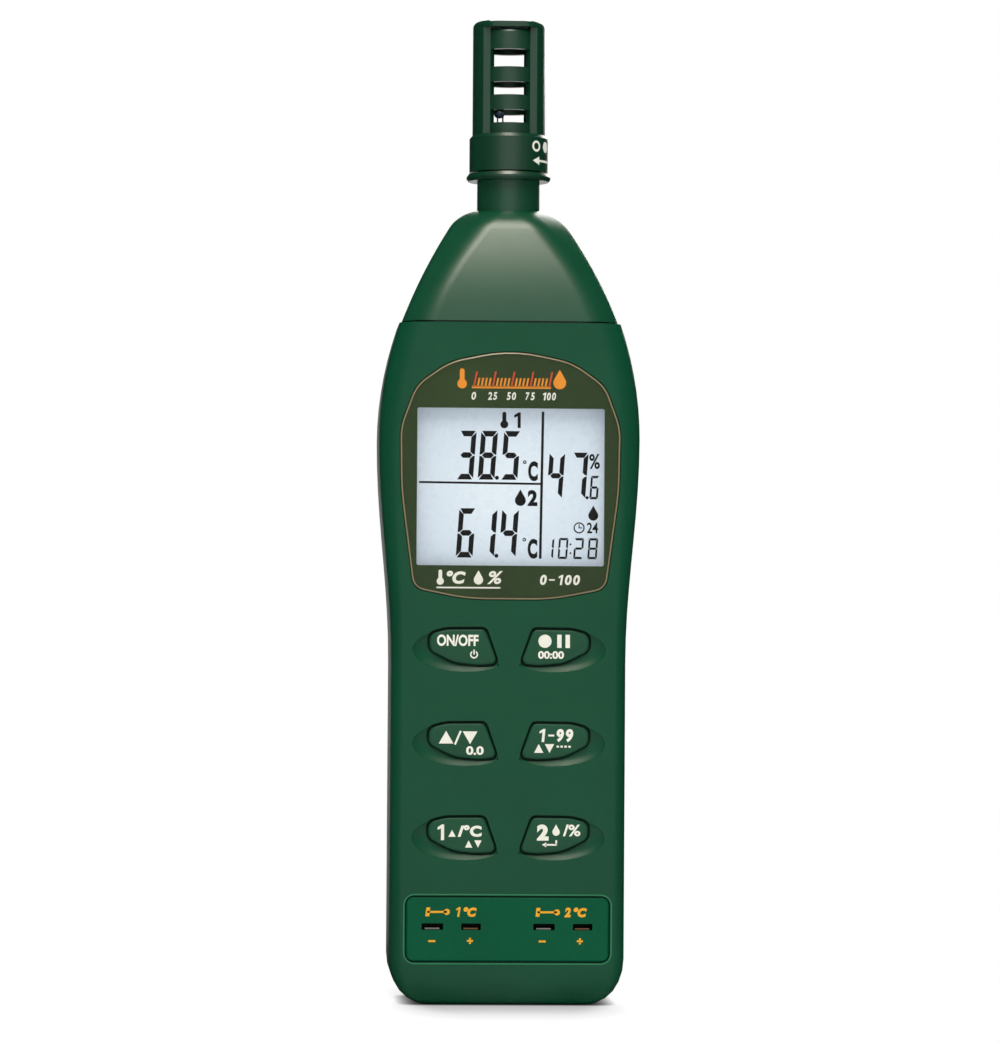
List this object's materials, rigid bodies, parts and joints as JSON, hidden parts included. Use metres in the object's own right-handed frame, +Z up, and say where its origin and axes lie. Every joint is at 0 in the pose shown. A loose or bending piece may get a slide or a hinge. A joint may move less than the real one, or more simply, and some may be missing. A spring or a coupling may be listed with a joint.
{
  "type": "digital hygro-thermometer",
  "caption": "Hand-held humidity and temperature meter with a turning vented sensor cap, a display, six keys and two flat-pin probe inputs",
  "frame": {"origin": "centre of the foot's flat underside, midway between front and rear faces", "axes": "+Z up along the length to the sensor head, -Y out of the display, +X to the right seen from the front"},
  "size_m": [0.0536, 0.033, 0.2031],
  "materials": {
    "case_green": "fine matt spark texture on moulded plastic",
    "nose_green": "fine matt texture with a soft sheen",
    "head_green": "dark green smooth plastic with a soft sheen",
    "key_green": "satin rubberised keys",
    "lens_clear": "clear glossy window with a dark olive printed border",
    "display_glass": "pale blue grey liquid crystal glass",
    "white_plastic": "white moulded light guide and frame",
    "foam": "soft black foam",
    "black_plastic": "dark moulded plastic",
    "silicone": "translucent silicone rubber",
    "black_rubber": "black rubber",
    "circuit_board": "green solder mask with copper tracks",
    "chips": "dark moulded packages",
    "white_metal": "nickel plated steel",
    "warm_metal": "warm grey thermocouple alloy",
    "ceramic_white": "white sensor element",
    "bead_blue": "blue grey dipped bead on thin leads",
    "cable_grey": "grey flat cable",
    "battery_jacket": "plain dark lacquered can",
    "lead_red": "insulated wire"
  },
  "bodies": {
    "case": {"front_case": "case_green", "rear_case": "case_green", "nose_cover": "nose_green", "display_lens": "lens_clear", "display_gasket": "foam", "lcd_panel": "display_glass", "lcd_frame": "white_plastic", "backlight": "white_plastic", "zebra_strips": "black_rubber", "main_board": "circuit_board", "board_components": "chips", "keypad_mat": "silicone", "input_panel": "case_green", "input_socket_1": "black_plastic", "input_socket_2": "black_plastic", "positive_contacts": "warm_metal", "negative_contacts": "white_metal", "sensor_guard": "head_green", "cap_o_ring": "black_rubber", "sensor_board": "circuit_board", "humidity_element": "ceramic_white", "thermistor": "bead_blue", "sensor_cable": "cable_grey", "battery": "battery_jacket", "battery_terminals": "white_metal", "battery_clip": "black_plastic", "battery_leads": "lead_red", "case_screws": "white_metal", "board_screws": "white_metal"},
    "shutter": {"sensor_cap": "head_green"},
    "door": {"battery_door": "case_green", "door_screw": "white_metal", "door_pad": "foam"},
    "key_power_body": {"key_power": "key_green"},
    "key_hold_body": {"key_hold": "key_green"},
    "key_max_min_body": {"key_max_min": "key_green"},
    "key_memory_body": {"key_memory": "key_green"},
    "key_input_1_body": {"key_input_1": "key_green"},
    "key_input_2_body": {"key_input_2": "key_green"}
  },
  "joints": [
    {"name": "cap_turn", "type": "hinge", "parent": "case", "child": "shutter", "pos_m": [0, 0, 0.19], "axis": [0, 0, -1], "range_deg": [0, 90]},
    {"name": "door_open", "type": "hinge", "parent": "case", "child": "door", "pos_m": [0, 0.0165, 0.0106], "axis": [-1, 0, 0], "range_deg": [0, 60]},
    {"name": "key_power_press", "type": "slide", "parent": "case", "child": "key_power_body", "axis": [0, 1, 0], "range_m": [0, 0.001], "stiffness_N_per_m": 1200, "deforming": ["keypad_mat"]},
    {"name": "key_hold_press", "type": "slide", "parent": "case", "child": "key_hold_body", "axis": [0, 1, 0], "range_m": [0, 0.001], "stiffness_N_per_m": 1200, "deforming": ["keypad_mat"]},
    {"name": "key_max_min_press", "type": "slide", "parent": "case", "child": "key_max_min_body", "axis": [0, 1, 0], "range_m": [0, 0.001], "stiffness_N_per_m": 1200, "deforming": ["keypad_mat"]},
    {"name": "key_memory_press", "type": "slide", "parent": "case", "child": "key_memory_body", "axis": [0, 1, 0], "range_m": [0, 0.001], "stiffness_N_per_m": 1200, "deforming": ["keypad_mat"]},
    {"name": "key_input_1_press", "type": "slide", "parent": "case", "child": "key_input_1_body", "axis": [0, 1, 0], "range_m": [0, 0.001], "stiffness_N_per_m": 1200, "deforming": ["keypad_mat"]},
    {"name": "key_input_2_press", "type": "slide", "parent": "case", "child": "key_input_2_body", "axis": [0, 1, 0], "range_m": [0, 0.001], "stiffness_N_per_m": 1200, "deforming": ["keypad_mat"]}
  ]
}
